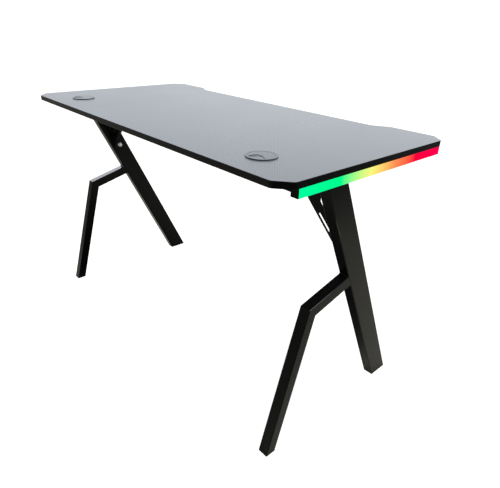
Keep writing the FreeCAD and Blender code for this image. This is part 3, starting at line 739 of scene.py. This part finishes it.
case_plastic = moulded_plastic(
    "case_plastic",
    dark=(0.012, 0.012, 0.012, 1),
    light=(0.018, 0.018, 0.018, 1),
    roughness=0.42,
    grain=0.00005,
)
dress(case_plastic, "control_case", "control_cover")
case_screw_head = 0.0070
case_screw_head_height = 0.0022
case_screw_shank = 0.0035
case_screw_length = 0.0125
case_screw = pan_screw(case_screw_head, case_screw_head_height, case_screw_shank, case_screw_length)
low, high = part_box("control_screws")
inset = case_screw_head / 2
seat = low.z + case_screw_head_height
spots = [(low.x + inset, low.y + inset, seat), (high.x - inset, high.y - inset, seat)]
case_screws = set_out(case_screw, "case_screws", spots, (0, 0, -1))
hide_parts("control_screws")
fit_out(case_screws, zinc)
bpy.data.objects.remove(case_screw)
button_plastic = moulded_plastic(
    "button_plastic",
    dark=(0.030, 0.030, 0.032, 1),
    light=(0.040, 0.040, 0.042, 1),
    roughness=0.3,
    grain=0.00002,
)
dress(button_plastic, "mode_button", "control_switch")
circuit_green = mottled(
    "circuit_green",
    dark=(0.01, 0.10, 0.03, 1),
    light=(0.02, 0.16, 0.05, 1),
    roughness=0.35,
    patch_scale=300,
)
dress(circuit_green, "control_circuit")
dress(zinc, "power_socket")

# Leads: a round lead in black rubber runs from the control to each light bar. Plastic clips hold it close
# under the board.

lead_rubber = moulded_plastic(
    "lead_rubber",
    dark=(0.011, 0.011, 0.011, 1),
    light=(0.017, 0.017, 0.017, 1),
    roughness=0.5,
    grain=0.00003,
)
dress(lead_rubber, *pair("light_lead"))
dress(case_plastic, "lead_clips")

# Floor: the camera sees an even white floor and white walls, which throw no light on the desk. The desk
# stands on a grey floor that the camera doesn't see and that its legs mirror. Its colour is painted shade
# and painted light: a painted shadow that is darkest under the board, painted light that fades towards the
# rear and far to the right, and a painted pool of light beside the left leg.

floor_reach = 60.0
stage_roughness = 0.9
screen_base = (0.25, 0.25, 0.25, 1)
screen_white = (1, 1, 1, 1)
floor_dark = (0.02, 0.02, 0.018, 1)
floor_light = (0.824, 0.760, 0.608, 1)
rear_fall = 1.2
rear_fall_from = -0.2
shade_reach = 0.56
shade_rear = -0.34
shade_soft = 0.06
shade_full = 0.05
shade_front = 0.36
right_fade_from = 1.20
right_fade = 0.55
open_floor_share = 0.625
bright_from = -0.52
bright_to = -1.00
bright_over = 0.30


def staged(name, **sockets):
    """The new object with a name and a dull finish, as a part of the stage."""
    piece = bpy.context.object
    piece.name = name
    material, shader, place = new_finish(name, Roughness=stage_roughness, **sockets)
    piece.data.materials.append(material)
    return piece, shader, place


even_white = {"Base_Color": screen_base, "Emission_Color": screen_white, "Emission_Strength": 1.0}
bpy.ops.object.select_all(action="DESELECT")
bpy.ops.mesh.primitive_plane_add(size=floor_reach)
white_floor = staged("white_floor", **even_white)[0]
bpy.ops.object.select_all(action="DESELECT")
bpy.ops.mesh.primitive_uv_sphere_add(radius=floor_reach)
white_walls = staged("white_walls", **even_white)[0]
for screen in (white_floor, white_walls):
    screen.visible_diffuse = False
    screen.visible_glossy = False
    screen.visible_shadow = False
bpy.ops.object.select_all(action="DESELECT")
bpy.ops.mesh.primitive_plane_add(size=floor_reach)
grey_floor, grey_shader, grey_place = staged("grey_floor")
floor_x = grey_place.part("X")
floor_y = grey_place.part("Y")
behind = (rear_fall_from - floor_y).at_least(0)
lit = 1 / (1 + rear_fall * behind)
between_legs = ((shade_reach - abs(floor_x)) / shade_soft).limited()
past_rear = ((floor_y - shade_rear) / shade_soft).limited()
to_front = ((shade_front - floor_y) / (shade_front - shade_full)).limited()
lit = lit * (1 - between_legs * past_rear * to_front)
lit = lit * (1 - (floor_x - right_fade_from) / right_fade).limited()
past_left_leg = ((bright_from - floor_x) / shade_soft).limited()
near_left_leg = ((floor_x - bright_to) / bright_over).limited()
lit = lit * (open_floor_share + (1 - open_floor_share) * past_left_leg * near_left_leg)
# Painted shade and light: the grey floor's colour runs from floor_dark in its painted shadows to
# floor_light where it is painted as lit.
lit.between(floor_dark, floor_light).into(grey_shader, "Base Color")
grey_floor.visible_camera = False

# Room: soft cool light comes from all round and is strongest near the horizon. It is dimmer behind the
# camera and far out to the left.

daylight = (0.89, 0.94, 1.0)
horizon_light = 1.88
horizon_fall = 0.9
room_light = 1.58
rear_shade_from = -0.15
rear_shade_over = 0.5
rear_shade = 0.8
left_shade_from = -0.74
left_shade_over = 0.14
left_shade = 0.15
world = bpy.data.worlds.new("white_room")
world.use_nodes = True
background = world.node_tree.nodes["Background"]
background.inputs["Color"].default_value = (*daylight, 1)
directions = Signal(world.node_tree.nodes.new("ShaderNodeTexCoord").outputs["Generated"])
to_rear = ((rear_shade_from - directions.part("Y")) / rear_shade_over).limited()
to_left = ((left_shade_from - directions.part("X")) / left_shade_over).limited()
room_glow = (horizon_light - horizon_fall * directions.part("Z")).at_least(room_light)
room_glow = room_glow * (1 - rear_shade * to_rear) * (1 - left_shade * to_left)
room_glow.into(background, "Strength")
bpy.context.scene.world = world

# Softboxes: one glowing panel stands beside the left leg and a smaller one beside the right branch arm.
# They brighten the tops and the edges of the arms.


def softbox(name, place, target, width, height, glow):
    """A glowing panel that faces a target and that the camera doesn't see."""
    aim = Vector(target) - Vector(place)
    turn = aim.to_track_quat("-Z", "Y").to_euler()
    bpy.ops.object.light_add(type="AREA", location=place, rotation=turn)
    panel = bpy.context.object
    panel.name = name
    panel.data.shape = "RECTANGLE"
    panel.data.size = width
    panel.data.size_y = height
    panel.data.energy = glow * math.pi * width * height
    panel.data.color = daylight
    panel.visible_camera = False


softbox(
    "left_softbox",
    place=(-1.00, 0.02, 0.63),
    target=(-0.56, -0.08, 0.41),
    width=0.60,
    height=0.16,
    glow=6.0,
)
softbox(
    "right_softbox",
    place=(0.687, -0.185, 0.496),
    target=(0.58, -0.185, 0.402),
    width=0.30,
    height=0.14,
    glow=8.5,
)

# Camera: it stands about a metre up, behind the right end of the desk, and looks down across the board
# with a slight roll. Its lens is a little wider than normal.

camera_place = (1.11202, -0.85407, 0.99674)
camera_heading = math.radians(47.02)
camera_pitch = math.radians(-26.65)
camera_roll = math.radians(2.0)
camera_lens = 32.52
level_turn = Euler((math.pi / 2 + camera_pitch, 0, camera_heading)).to_matrix()
camera_turn = level_turn @ Matrix.Rotation(camera_roll, 3, "Z")
bpy.ops.object.camera_add(location=camera_place, rotation=camera_turn.to_euler())
camera = bpy.context.object
camera.data.lens = camera_lens
bpy.context.scene.camera = camera
bpy.context.scene.view_settings.view_transform = "Standard"
